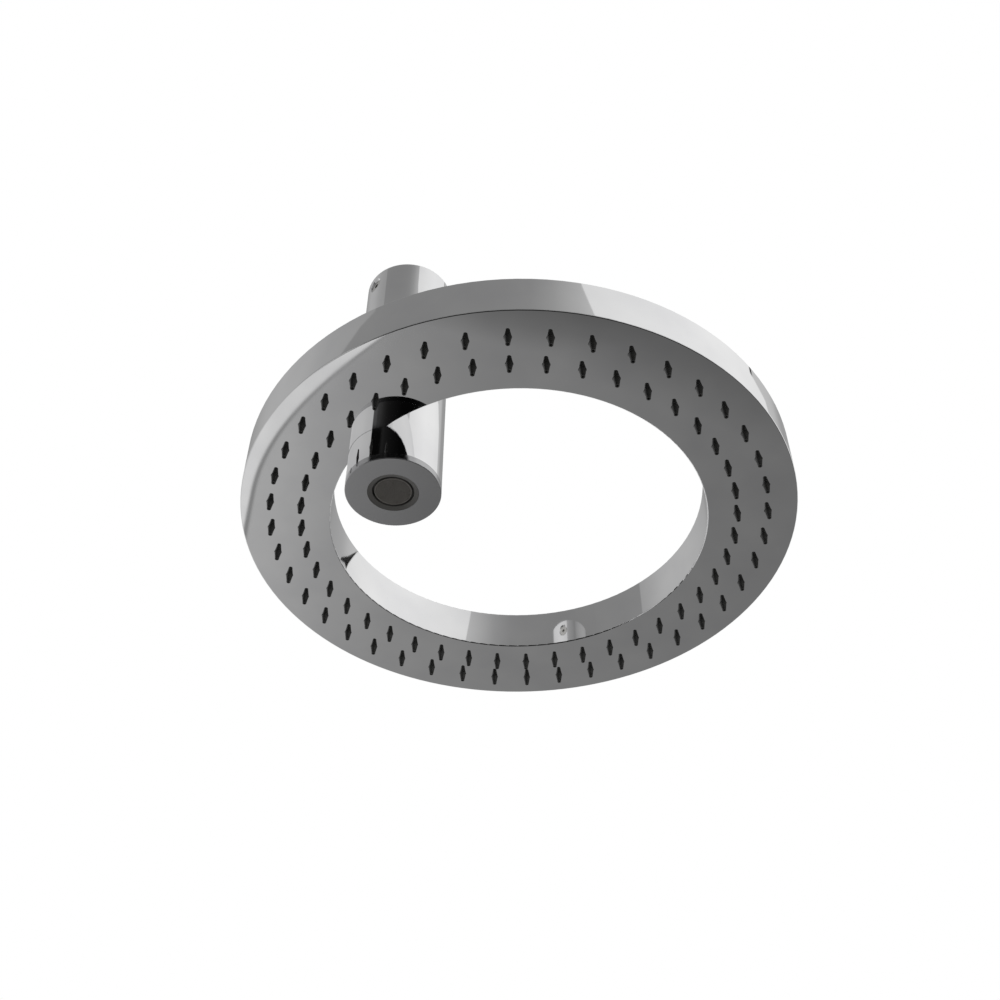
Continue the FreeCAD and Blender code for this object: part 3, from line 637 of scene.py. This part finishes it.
@dataclass
class WireCloth:
    """A round of plain-woven wire cloth in a pressed rim, in place of a plain disc of the frame."""

    piece: str
    node: str
    slot: Slot
    finish: Finish
    pitch: float
    rim_width: float = 0.5 * MM
    wire_sides: int = 5
    points_in_a_pitch: int = 4
    rim_facets: int = 96

    def __post_init__(self) -> None:
        """Take the disc's size from the frame, and the wire's from the disc's thickness."""
        low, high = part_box(self.node)
        self.radius = (high.y - low.y) / 2
        self.height = (low.z + high.z) / 2
        self.thickness = high.z - low.z
        self.wire_radius = self.thickness / 4
        self.woven_radius = self.radius - self.rim_width / 2
        self.wires = 2 * int((self.woven_radius - self.pitch / 2) / self.pitch) + 1
        self.first_wire = -(self.wires - 1) / 2 * self.pitch

    def rim(self) -> Mesh:
        """Mesh of the pressed rim that holds the wires' ends."""
        half = self.thickness / 2
        inner = self.radius - self.rim_width
        corner = half / 3
        outline = [(inner, self.height - half + corner), (inner + corner, self.height - half),
                   (self.radius - corner, self.height - half), (self.radius, self.height - half + corner),
                   (self.radius, self.height + half - corner), (self.radius - corner, self.height + half),
                   (inner + corner, self.height + half), (inner, self.height + half - corner)]
        return revolved(outline, self.rim_facets, closed=True)

    def lay_out(self, tree: NodeTree, given: Node) -> NodeSocket:
        """Weave straight wires over and under each other, and cut them to the round.

        Args:
            tree: the tree to build in.
            given: the node that holds the tree's inputs.

        Returns:
            The rim with both layers of wires.
        """
        pitch, radius, wire = (given.outputs[name] for name in ("Pitch", "Woven radius", "Wire radius"))
        feet = add_node(tree, "GeometryNodeMeshLine", {
            "Count": given.outputs["Wires"],
            "Start Location": add_node(tree, "ShaderNodeCombineXYZ", {
                "Y": given.outputs["First wire"]}).outputs[0],
            "Offset": add_node(tree, "ShaderNodeCombineXYZ", {"Y": pitch}).outputs[0]}, mode="OFFSET")
        straight = add_node(tree, "GeometryNodeCurvePrimitiveLine", {"Start": (-1, 0, 0), "End": (1, 0, 0)})
        beside = add_node(tree, "ShaderNodeSeparateXYZ", {
            0: add_node(tree, "GeometryNodeInputPosition").outputs[0]}).outputs["Y"]
        chord = self.half_chord(tree, radius, beside)
        size = add_node(tree, "ShaderNodeCombineXYZ", {"X": chord, "Y": 1.0, "Z": 1.0})
        laid = add_node(tree, "GeometryNodeInstanceOnPoints", {
            "Points": feet, "Instance": straight, "Scale": size})
        loose = add_node(tree, "GeometryNodeRealizeInstances", {0: laid})
        fine = add_node(tree, "GeometryNodeResampleCurve", {
            "Curve": loose, "Length": given.outputs["Step along a wire"]}, mode="LENGTH")
        lift = add_node(tree, "ShaderNodeCombineXYZ", {"Z": self.weave_height(tree, pitch, wire)})
        waved = add_node(tree, "GeometryNodeSetPosition", {0: fine, "Offset": lift})
        section = add_node(tree, "GeometryNodeCurvePrimitiveCircle", {
            "Resolution": self.wire_sides, "Radius": wire})
        warp = add_node(tree, "GeometryNodeCurveToMesh", {
            "Curve": waved, "Profile Curve": section, "Fill Caps": True})
        weft = add_node(tree, "GeometryNodeTransform", {
            0: warp, "Rotation": (math.pi, 0.0, math.pi / 2)})
        both = add_node(tree, "GeometryNodeJoinGeometry", {0: warp})
        tree.links.new(weft.outputs[0], both.inputs[0])
        placed = raised(tree, both.outputs[0], given.outputs["Height"])
        smooth = add_node(tree, "GeometryNodeSetShadeSmooth", {0: placed})
        whole = add_node(tree, "GeometryNodeJoinGeometry", {0: smooth})
        tree.links.new(given.outputs["Geometry"], whole.inputs[0])
        return whole.outputs[0]

    def half_chord(self, tree: NodeTree, radius: NodeSocket,
                   beside: NodeSocket) -> NodeSocket:
        """Half the length of the round's chord at a distance from its middle."""
        square = add_node(tree, "ShaderNodeMath", {0: radius, 1: radius}, operation="MULTIPLY").outputs[0]
        away = add_node(tree, "ShaderNodeMath", {0: beside, 1: beside}, operation="MULTIPLY").outputs[0]
        left = add_node(tree, "ShaderNodeMath", {0: square, 1: away}, operation="SUBTRACT").outputs[0]
        return add_node(tree, "ShaderNodeMath", {0: left}, operation="SQRT").outputs[0]

    def weave_height(self, tree: NodeTree, pitch: NodeSocket,
                     wire: NodeSocket) -> NodeSocket:
        """Height of a wire's middle: over one crossing and under the next, along it and across it."""
        point = add_node(tree, "GeometryNodeInputPosition").outputs[0]
        place = add_node(tree, "ShaderNodeSeparateXYZ", {0: point})
        height = wire
        for side in ("X", "Y"):
            crossings = add_node(tree, "ShaderNodeMath", {0: place.outputs[side], 1: pitch},
                                 operation="DIVIDE").outputs[0]
            angle = add_node(tree, "ShaderNodeMath", {0: crossings, 1: math.pi}, operation="MULTIPLY")
            swing = add_node(tree, "ShaderNodeMath", {0: angle}, operation="COSINE")
            height = add_node(tree, "ShaderNodeMath", {0: height, 1: swing},
                              operation="MULTIPLY").outputs[0]
        return height

    def build(self) -> Object:
        """Make the cloth in its rim."""
        pattern = Pattern(self.piece + "_weave", {
            "Pitch": self.pitch,
            "Woven radius": self.woven_radius,
            "Wire radius": self.wire_radius,
            "Wires": self.wires,
            "First wire": self.first_wire,
            "Step along a wire": self.pitch / self.points_in_a_pitch,
            "Height": self.height,
        }, self.lay_out, self.finish)
        return new_piece(self.piece, pattern.grow(self.rim()), self.slot, self.node)


@dataclass
class RainRing:
    """The flat ring: its shell, its soft nozzles and everything between face and cover."""

    def build(self) -> None:
        """Make the nozzle mat."""
        NozzleMat().build()

    def dress(self) -> None:
        """Give every node of the ring its finish."""
        dress(RING_CHROME, "ring_housing", "back_cover")
        dress(WHITE_ACETAL, "distributor_plate")
        dress(STAINLESS, "standoffs", "clamp_screws")
        dress(SCREW_STEEL, "cover_screws")
        dress(RAW_BRASS, "ring_bracket", "ring_bolt")
        dress(SEAL_RUBBER, "screw_seals", "outer_cover_seal", "inner_cover_seal", "ring_bolt_seals")


@dataclass
class Stem:
    """The round stem: its sleeve, its screws and the water's way down inside."""

    gauze_pitch: float = 0.45 * MM

    def build(self) -> None:
        """Make the filter gauze in the inlet."""
        WireCloth("inlet_gauze", "inlet_filter", Slot.STAINLESS, GAUZE_WIRE, self.gauze_pitch).build()

    def dress(self) -> None:
        """Give every node of the stem its finish."""
        dress(RING_CHROME, "stem_sleeve")
        # The outlet body's chrome is darker than the ring's as painted shade.
        dress(OUTLET_CHROME_PAINTED_DARKER, "outlet_body")
        dress(SCREW_STEEL, "stem_screws")
        dress(RAW_BRASS, "inlet_hub")
        dress(TUBE_BRASS, "supply_tube")
        dress(SEAL_RUBBER, "hub_seals", "inlet_washer")
        dress(WHITE_ACETAL, "flow_regulator")


@dataclass
class JetOutlet:
    """The jet outlet in the stem's foot: its cup, its straightener and its wire cloth."""

    cloth_pitch: float = 0.5 * MM

    def build(self) -> None:
        """Make the wire cloth on the outlet's nose."""
        WireCloth("jet_wire_cloth", "jet_screen", Slot.WIRE_CLOTH, CLOTH_WIRE, self.cloth_pitch).build()

    def dress(self) -> None:
        """Give every node of the outlet its finish."""
        dress(BLACK_ACETAL, "jet_housing", "jet_insert")
        dress(STAINLESS, "jet_strainer")
        dress(SEAL_RUBBER, "jet_gasket")


@dataclass(frozen=True)
class Edge:
    """An upright edge in the room, in degrees.

    Its course is pairs of height and compass angle, and its blur is half its width. A bowed edge falls back
    from its course with the square of the distance below a height.
    """

    course: Course
    blur: float
    bow: float = 0.0
    bow_below: float = 0.0
    bow_reach: float = 12.0


@dataclass(frozen=True)
class Field:
    """A plain grey field in the room: the compass angles and heights over which each side fades."""

    start: Span
    end: Span
    bottom: Span
    top: Span
    grey: int


@dataclass
class Room:
    """What metal mirrors: grey walls, one large white card, and a floor that is dark behind the camera.

    Angles are in degrees: compass angles from +X towards +Y, heights from the horizon. Greys are plain sRGB
    levels, alone or in pairs of compass angle and grey.
    """

    # The walls, paler towards the card and darker past a corner.
    wall_greys: Greys = (
        (-180, 140), (-150, 140), (-135, 141), (-125, 146), (-115, 160), (-105, 184), (-99, 196), (-8, 204),
        (0, 200), (5, 194), (10, 184), (16, 177), (28, 169), (38, 163), (47, 153), (52, 157), (57, 168),
        (65, 175), (78, 183), (100, 190), (118, 191), (127, 188), (138, 178), (150, 168))
    high_wall_greys: Greys = (
        (-180, 141), (-150, 141), (-135, 143), (-125, 147), (-115, 160), (-105, 182), (-99, 196), (-8, 204),
        (0, 200), (5, 193), (10, 175), (14, 162), (20, 160), (30, 159), (36, 150), (60, 147), (75, 153),
        (82, 163), (92, 172), (100, 179), (110, 183), (120, 182), (130, 180), (142, 171), (165, 160))
    high_wall_from: Span = (43.0, 45.5)
    corner: Edge = Edge(((39.0, 146.5), (50.2, 149.0), (51.6, 158.0), (52.4, 165.0)), 0.5)
    dark_side_greys: Greys = ((145, 147), (160, 143), (180, 141))

    # The white card, and the dark gap beside it.
    card_left: Edge = Edge(((37.5, -97.0), (38.8, -100.0), (45.0, -100.0), (50.0, -97.0), (52.3, -97.0),
                            (53.8, -102.0)), 0.25)
    card_right: Edge = Edge(((40.45, 3.4), (40.7, 1.5), (41.0, -3.0), (41.25, -7.0), (41.4, -11.5),
                             (44.0, -11.5), (44.4, -1.0), (46.3, -1.5), (47.2, -3.0), (48.6, -13.0)), 0.5)
    card_greys: Greys = ((-105, 236), (-90, 241), (-75, 247), (-55, 252), (-25, 250), (-10, 244), (0, 240))
    gap_right: Edge = Edge(((40.45, 3.6), (40.7, 6.5), (40.85, 13.3), (40.95, 12.0), (41.03, 3.0),
                            (41.25, -5.5), (41.4, -11.5)), 0.4)
    gap_grey: int = 36

    # Two fields low on the walls, a dark one and a pale one, which only the rounded edges mirror.
    low_fields: tuple[Field, ...] = (
        Field((-180.0, -172.0), (-70.0, -40.0), (23.0, 27.0), (33.0, 38.0), 14),
        Field((16.0, 34.0), (100.0, 130.0), (-13.0, -6.0), (29.0, 38.0), 238),
    )

    # The bare floor, with a soft shade and a shadow on it.
    horizon: Span = (-30.0, -8.0)
    floor_greys: Greys = (
        (-180, 68), (-172, 59), (-164, 44), (-156, 31), (-147, 24), (-135, 18), (-118, 9), (-92, 8),
        (-80, 15), (-65, 36), (-35, 60), (0, 88), (30, 117), (34, 121), (42, 129), (50, 136), (54, 142),
        (57, 149), (60, 160), (65, 181), (120, 150), (168, 104), (175, 84))
    shade_edge: Course = ((-53.5, 66.0), (-52.3, 58.0), (-50.8, 47.0), (-47.5, 38.0), (-44.5, 30.0))
    shade_depth: Course = ((-24.0, 0.6), (-18.0, 0.51), (-8.0, 0.29), (0.0, 0.0))
    shade_from: Span = (0.0, 30.0)
    shade_grey: int = 0
    shadow_sides: Span = (158.0, 168.0)
    shadow_above: Span = (-47.3, -47.0)
    shadow_grey: int = 11

    # The bright panel on the floor, with a grey seam along its left edge.
    panel_left: Edge = Edge(((-43.3, 65.8),), 0.1, bow=0.112, bow_below=-43.3)
    panel_right: Edge = Edge(((-60, 169.5),), 0.4)
    panel_greys: Greys = ((55, 224), (65, 221), (66, 228), (73, 219), (80, 211), (95, 212), (115, 217),
                          (135, 217), (150, 212), (170, 205))
    seam_width: float = 0.28
    seam_blur: float = 0.1
    seam_grey: int = 137

    zenith: Span = (66.0, 86.0)
    zenith_grey: int = 172
    nadir: Span = (-60.0, -56.0)
    nadir_grey: int = 28

    def ramp(self, greys: Greys) -> NodeSocket:
        """Follow a list of greys round the compass, and give the colour's socket."""
        low, high = greys[0][0], greys[-1][0]
        along = add_node(self.tree, "ShaderNodeMapRange", {
            "Value": self.compass, "From Min": low, "From Max": high})
        ramp = add_node(self.tree, "ShaderNodeValToRGB", {0: along.outputs["Result"]})
        stops = ramp.color_ramp.elements
        while len(stops) < len(greys):
            stops.new(1.0)
        for stop, (angle, grey) in zip(stops, greys):
            stop.position = (angle - low) / (high - low)
            stop.color = plain_grey(grey)
        return ramp.outputs["Color"]

    def follow(self, value: NodeSocket, course: Course) -> NodeSocket:
        """Give the result that belongs to a value on a course of straight runs, level beyond its ends.

        Args:
            value: the value's socket.
            course: pairs of value and result, by rising value.

        Returns:
            The result's socket.
        """
        total = add_node(self.tree, "ShaderNodeMath", {0: course[0][1], 1: 0.0}, operation="ADD").outputs[0]
        for (start, before), (end, after) in zip(course, course[1:]):
            run = add_node(self.tree, "ShaderNodeMapRange", {
                "Value": value, "From Min": start, "From Max": end, "To Max": after - before})
            total = add_node(self.tree, "ShaderNodeMath", {0: total, 1: run},
                             operation="ADD").outputs[0]
        return total

    def past(self, edge: Edge) -> NodeSocket:
        """Give 1 where the compass angle lies past an edge, and 0 before it."""
        place = self.follow(self.height, edge.course)
        if edge.bow:
            below = self.follow(self.height, (
                (edge.bow_below - edge.bow_reach, edge.bow_reach), (edge.bow_below, 0.0)))
            square = add_node(self.tree, "ShaderNodeMath", {0: below, 1: below}, operation="MULTIPLY")
            place = add_node(self.tree, "ShaderNodeMath", {0: square, 1: -edge.bow, 2: place},
                             operation="MULTIPLY_ADD").outputs[0]
        away = add_node(self.tree, "ShaderNodeMath", {0: self.compass, 1: place}, operation="SUBTRACT")
        return self.step(away.outputs[0], (-edge.blur, edge.blur))

    def step(self, value: NodeSocket, span: Span) -> NodeSocket:
        """Rise smoothly from 0 to 1 over a span of a value."""
        rise = add_node(self.tree, "ShaderNodeMapRange", {
            "Value": value, "From Min": span[0], "From Max": span[1]}, interpolation_type="SMOOTHSTEP")
        return rise.outputs[0]

    def between(self, start: NodeSocket, end: NodeSocket) -> NodeSocket:
        """Give 1 where the first of two rises is over and the second hasn't begun, and 0 elsewhere."""
        return add_node(self.tree, "ShaderNodeMath", {0: start, 1: end}, operation="SUBTRACT").outputs[0]

    def walls(self) -> NodeSocket:
        """Colour of the upper half: the walls, darker past the corner, the card, and the low fields."""
        grey = blended(self.tree, self.step(self.height, self.high_wall_from), self.ramp(self.wall_greys),
                       self.ramp(self.high_wall_greys))
        grey = blended(self.tree, self.past(self.corner), grey, self.ramp(self.dark_side_greys))
        card_end = self.past(self.card_right)
        gap = self.between(card_end, self.past(self.gap_right))
        grey = blended(self.tree, gap, grey, plain_grey(self.gap_grey))
        card = self.between(self.past(self.card_left), card_end)
        grey = blended(self.tree, card, grey, self.ramp(self.card_greys))
        for field in self.low_fields:
            across = self.between(self.step(self.compass, field.start), self.step(self.compass, field.end))
            upward = self.between(self.step(self.height, field.bottom), self.step(self.height, field.top))
            share = add_node(self.tree, "ShaderNodeMath", {0: across, 1: upward}, operation="MULTIPLY")
            grey = blended(self.tree, share.outputs[0], grey, plain_grey(field.grey))
        return grey

    def floor(self) -> NodeSocket:
        """Colour of the lower half: the bare floor with its shade and its shadow, and the bright panel."""
        shade_edge = self.follow(self.height, self.shade_edge)
        inside = add_node(self.tree, "ShaderNodeMath", {0: self.compass, 1: shade_edge}, operation="SUBTRACT")
        shade = add_node(self.tree, "ShaderNodeMath", {
            0: self.follow(inside.outputs[0], self.shade_depth), 1: self.step(self.compass, self.shade_from)},
                         operation="MULTIPLY").outputs[0]
        grey = blended(self.tree, shade, self.ramp(self.floor_greys), plain_grey(self.shade_grey))
        turned = add_node(self.tree, "ShaderNodeMath", {0: self.compass}, operation="ABSOLUTE").outputs[0]
        shadow = add_node(self.tree, "ShaderNodeMath", {
            0: self.step(self.height, self.shadow_above), 1: self.step(turned, self.shadow_sides)},
                          operation="MULTIPLY").outputs[0]
        grey = blended(self.tree, shadow, grey, plain_grey(self.shadow_grey))
        course = tuple((height, angle - self.seam_width) for height, angle in self.panel_left.course)
        seam_start = self.past(replace(self.panel_left, course=course, blur=self.seam_blur))
        panel_start = self.past(self.panel_left)
        grey = blended(self.tree, self.between(seam_start, panel_start), grey, plain_grey(self.seam_grey))
        panel = self.between(panel_start, self.past(self.panel_right))
        return blended(self.tree, panel, grey, self.ramp(self.panel_greys))

    def build(self) -> None:
        """Make the world, with plain white where the camera looks past the object."""
        world = bpy.data.worlds.new("room")
        bpy.context.scene.world = world
        world.use_nodes = True
        self.tree = world.node_tree
        self.tree.nodes.clear()
        sight = add_node(self.tree, "ShaderNodeTexCoord").outputs["Generated"]
        way = add_node(self.tree, "ShaderNodeSeparateXYZ", {0: sight})
        x, y, z = way.outputs
        turn = add_node(self.tree, "ShaderNodeMath", {0: y, 1: x}, operation="ARCTAN2")
        rise = add_node(self.tree, "ShaderNodeMath", {0: z}, operation="ARCSINE")
        self.compass, self.height = (
            add_node(self.tree, "ShaderNodeMath", {0: angle}, operation="DEGREES").outputs[0]
            for angle in (turn, rise))
        seen = blended(self.tree, self.step(self.height, self.horizon), self.floor(), self.walls())
        seen = blended(self.tree, self.step(self.height, self.zenith), seen, plain_grey(self.zenith_grey))
        seen = blended(self.tree, self.step(self.height, self.nadir), plain_grey(self.nadir_grey), seen)
        mirrored, white = (add_node(self.tree, "ShaderNodeBackground", {"Color": colour}).outputs[0]
                           for colour in (seen, WHITE))
        straight = add_node(self.tree, "ShaderNodeLightPath").outputs["Is Camera Ray"]
        shown = add_node(self.tree, "ShaderNodeMixShader", {0: straight, 1: mirrored, 2: white})
        add_node(self.tree, "ShaderNodeOutputWorld", {"Surface": shown})


def direction(compass: float, height: float) -> Vector:
    """Give the unit vector of a compass angle and a height, in degrees."""
    turn, rise = math.radians(compass), math.radians(height)
    return Vector((math.cos(turn) * math.cos(rise), math.sin(turn) * math.cos(rise), math.sin(rise)))


@dataclass(frozen=True)
class SoftBox:
    """A square soft lamp that lights dull surfaces, and that metal doesn't mirror.

    Its level is the share of its own colour that a white surface turned to the lamp shows.
    """

    name: str
    compass: float
    height: float
    distance: float
    level: float
    size: float = 0.7

    def build(self, aim: Vector) -> None:
        """Hang the lamp round a point, turned to it."""
        away = direction(self.compass, self.height)
        light = bpy.data.lights.new(self.name, "AREA")
        light.shape = "SQUARE"
        light.size = self.size
        light.energy = self.level * (math.pi * self.distance) ** 2
        lamp = bpy.data.objects.new(self.name, light)
        turned = away.to_track_quat("Z", "Y").to_matrix().to_4x4()
        lamp.matrix_world = Matrix.Translation(aim + away * self.distance) @ turned
        lamp.visible_camera = False
        lamp.visible_glossy = False
        bpy.context.scene.collection.objects.link(lamp)


@dataclass
class Studio:
    """The camera, the room and its lamps, and a pale floor far below."""

    camera_place: tuple[float, float, float] = (-242.1 * MM, -371.1 * MM, -591.2 * MM)
    camera_heading: float = 49.94
    camera_rise: float = 44.03
    lens: float = 44.25
    sensor: float = 36.0
    lamps: tuple[SoftBox, ...] = (
        SoftBox("key_soft_box", compass=-62, height=-40, distance=1.0, level=0.55),
        SoftBox("fill_soft_box", compass=170, height=-52, distance=0.95, level=0.25),
    )
    floor_height: float = -1.1
    floor_half_width: float = 12.0
    floor_fade_from: float = 1.2
    floor_fade_to: float = 5.0
    floor_near_white: float = 0.55
    floor_colour: str = "#EDEDEC"

    def build(self) -> None:
        """Set up the camera, the room, the lamps and the floor."""
        self.build_camera()
        Room().build()
        ring_low, ring_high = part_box("ring_housing")
        for lamp in self.lamps:
            lamp.build((ring_low + ring_high) / 2)
        self.build_floor()
        bpy.context.scene.view_settings.view_transform = "Standard"

    def build_camera(self) -> None:
        """Place the camera below the ring, looking up at it."""
        data = bpy.data.cameras.new("camera")
        data.lens = self.lens
        data.sensor_width = self.sensor
        camera = bpy.data.objects.new("camera", data)
        turned = direction(self.camera_heading, self.camera_rise).to_track_quat("-Z", "Y")
        camera.matrix_world = Matrix.Translation(self.camera_place) @ turned.to_matrix().to_4x4()
        bpy.context.scene.collection.objects.link(camera)
        bpy.context.scene.camera = camera

    def build_floor(self) -> None:
        """Lay the pale floor, which fades to white far away so that no horizon shows."""
        half = self.floor_half_width
        corners = [(-half, -half), (half, -half), (half, half), (-half, half)]
        mesh = bpy.data.meshes.new("studio_floor")
        mesh.from_pydata([(x, y, self.floor_height) for x, y in corners], [], [(0, 1, 2, 3)])
        floor = bpy.data.objects.new("studio_floor", mesh)
        bpy.context.scene.collection.objects.link(floor)
        floor.visible_glossy = False
        floor.visible_diffuse = False
        paint = bpy.data.materials.new("pale_floor_paint")
        paint.use_nodes = True
        tree = paint.node_tree
        tree.nodes.clear()
        place = add_node(tree, "ShaderNodeTexCoord").outputs["Object"]
        level = add_node(tree, "ShaderNodeVectorMath", {0: place, 1: (1.0, 1.0, 0.0)}, operation="MULTIPLY")
        away = add_node(tree, "ShaderNodeVectorMath", {0: level}, operation="LENGTH")
        fade = add_node(tree, "ShaderNodeMapRange", {
            "Value": away.outputs["Value"], "From Min": self.floor_fade_from, "From Max": self.floor_fade_to,
            "To Min": self.floor_near_white, "To Max": 1.0}, interpolation_type="SMOOTHSTEP")
        straight = add_node(tree, "ShaderNodeLightPath").outputs["Is Camera Ray"]
        share = add_node(tree, "ShaderNodeMath", {0: fade, 1: straight}, operation="MULTIPLY")
        lit = add_node(tree, "ShaderNodeBsdfDiffuse", {"Color": linear(self.floor_colour)})
        white = add_node(tree, "ShaderNodeEmission", {"Color": WHITE, "Strength": 1.0})
        surface = add_node(tree, "ShaderNodeMixShader", {
            0: share, 1: lit, 2: white})
        add_node(tree, "ShaderNodeOutputMaterial", {"Surface": surface})
        mesh.materials.append(paint)


def main() -> None:
    """Build and dress the whole shower head."""
    logging.basicConfig(level=logging.INFO, format="%(name)s: %(message)s")
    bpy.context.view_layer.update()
    Studio().build()
    for assembly in (RainRing(), Stem(), JetOutlet()):
        assembly.build()
        assembly.dress()


if __name__ == "__main__":
    main()
